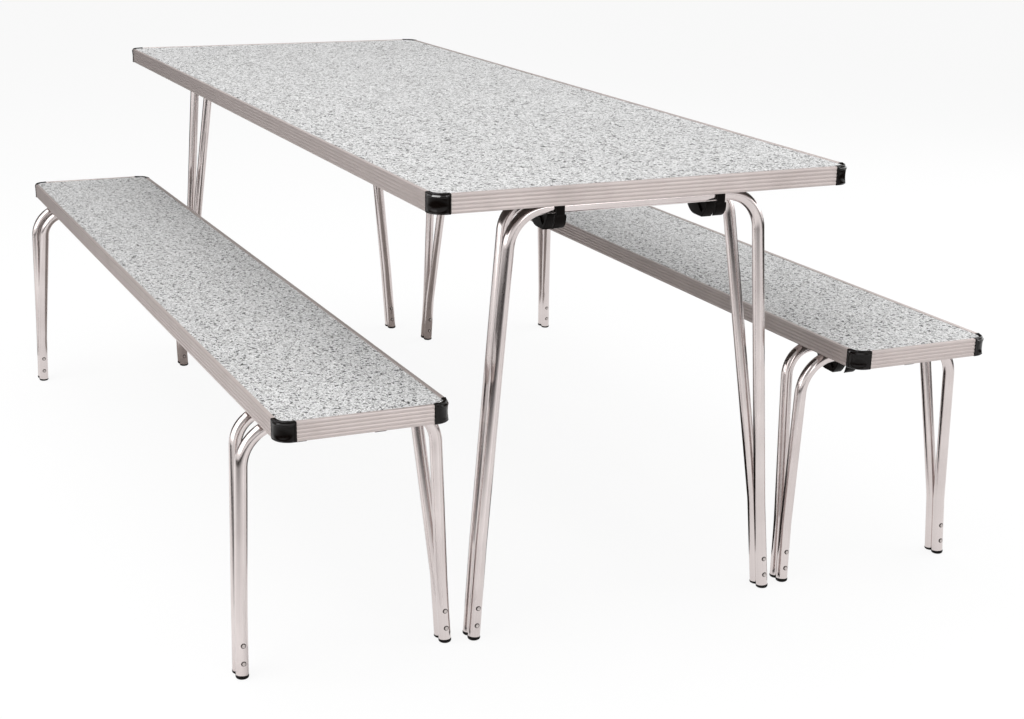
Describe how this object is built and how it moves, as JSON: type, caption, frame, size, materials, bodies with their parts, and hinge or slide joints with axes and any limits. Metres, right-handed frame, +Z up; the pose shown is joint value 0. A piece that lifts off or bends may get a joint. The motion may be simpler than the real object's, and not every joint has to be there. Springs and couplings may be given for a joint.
{
  "type": "folding table and bench set",
  "caption": "Folding canteen table with a loose folding bench along each side: laminate boards in reeded aluminium edging, on hinged bent-tube leg frames that snap into clip blocks.",
  "frame": {"origin": "on the floor, under the centre of the box round the set as it stands, with all legs unfolded", "axes": "+X along the boards towards the end nearest the viewer in the picture, +Y across them to the viewer's right, +Z up"},
  "size_m": [1.8932, 1.2676, 0.6988],
  "materials": {
    "laminate": "grey laminate with fine dark flecks, satin, on a plywood core",
    "edging": "extruded, reeded lengthways, satin anodised",
    "tube": "drawn tube, polished and anodised",
    "moulding": "black nylon moulding, lightly glossy",
    "foot_plug": "black nylon plug, worn satin"
  },
  "bodies": {
    "table": {"table_board": "laminate", "table_far_edge": "edging", "table_far_left_cap": "moulding", "table_far_left_clip": "moulding", "table_far_right_cap": "moulding", "table_far_right_clip": "moulding", "table_left_edge": "edging", "table_near_edge": "edging", "table_near_left_cap": "moulding", "table_near_left_clip": "moulding", "table_near_right_cap": "moulding", "table_near_right_clip": "moulding", "table_right_edge": "edging"},
    "table_near_legs": {"table_near_inner_bow": "tube", "table_near_left_foot": "foot_plug", "table_near_outer_bow": "tube", "table_near_right_foot": "foot_plug"},
    "table_far_legs": {"table_far_inner_bow": "tube", "table_far_left_foot": "foot_plug", "table_far_outer_bow": "tube", "table_far_right_foot": "foot_plug"},
    "left_bench": {"left_bench_board": "laminate", "left_bench_far_edge": "edging", "left_bench_far_left_cap": "moulding", "left_bench_far_left_clip": "moulding", "left_bench_far_right_cap": "moulding", "left_bench_far_right_clip": "moulding", "left_bench_left_edge": "edging", "left_bench_near_edge": "edging", "left_bench_near_left_cap": "moulding", "left_bench_near_left_clip": "moulding", "left_bench_near_right_cap": "moulding", "left_bench_near_right_clip": "moulding", "left_bench_right_edge": "edging"},
    "left_bench_near_legs": {"left_bench_near_left_foot": "foot_plug", "left_bench_near_leg_bows": "tube", "left_bench_near_right_foot": "foot_plug"},
    "left_bench_far_legs": {"left_bench_far_left_foot": "foot_plug", "left_bench_far_leg_bows": "tube", "left_bench_far_right_foot": "foot_plug"},
    "right_bench": {"right_bench_board": "laminate", "right_bench_far_edge": "edging", "right_bench_far_left_cap": "moulding", "right_bench_far_left_clip": "moulding", "right_bench_far_right_cap": "moulding", "right_bench_far_right_clip": "moulding", "right_bench_left_edge": "edging", "right_bench_near_edge": "edging", "right_bench_near_left_cap": "moulding", "right_bench_near_left_clip": "moulding", "right_bench_near_right_cap": "moulding", "right_bench_near_right_clip": "moulding", "right_bench_right_edge": "edging"},
    "right_bench_near_legs": {"right_bench_near_left_foot": "foot_plug", "right_bench_near_leg_bows": "tube", "right_bench_near_right_foot": "foot_plug"},
    "right_bench_far_legs": {"right_bench_far_left_foot": "foot_plug", "right_bench_far_leg_bows": "tube", "right_bench_far_right_foot": "foot_plug"}
  },
  "joints": [
    {"name": "left_bench_place", "type": "slide", "parent": "table", "child": "left_bench", "axis": [0, -1, 0], "range_m": [-0.015, 0.3]},
    {"name": "right_bench_place", "type": "slide", "parent": "table", "child": "right_bench", "axis": [0, 1, 0], "range_m": [-0.015, 0.3]},
    {"name": "table_near_fold", "type": "hinge", "parent": "table", "child": "table_near_legs", "pos_m": [0.779, 0, 0.66], "axis": [0, 1, 0], "range_deg": [0, 93]},
    {"name": "table_far_fold", "type": "hinge", "parent": "table", "child": "table_far_legs", "pos_m": [-0.841, 0, 0.66], "axis": [0, -1, 0], "range_deg": [0, 93]},
    {"name": "left_bench_near_fold", "type": "hinge", "parent": "left_bench", "child": "left_bench_near_legs", "pos_m": [0.77, -0.464, 0.382], "axis": [0, 1, 0], "range_deg": [0, 96]},
    {"name": "left_bench_far_fold", "type": "hinge", "parent": "left_bench", "child": "left_bench_far_legs", "pos_m": [-0.708, -0.464, 0.382], "axis": [0, -1, 0], "range_deg": [0, 96]},
    {"name": "right_bench_near_fold", "type": "hinge", "parent": "right_bench", "child": "right_bench_near_legs", "pos_m": [0.77, 0.464, 0.382], "axis": [0, 1, 0], "range_deg": [0, 96]},
    {"name": "right_bench_far_fold", "type": "hinge", "parent": "right_bench", "child": "right_bench_far_legs", "pos_m": [-0.708, 0.464, 0.382], "axis": [0, -1, 0], "range_deg": [0, 96]}
  ]
}
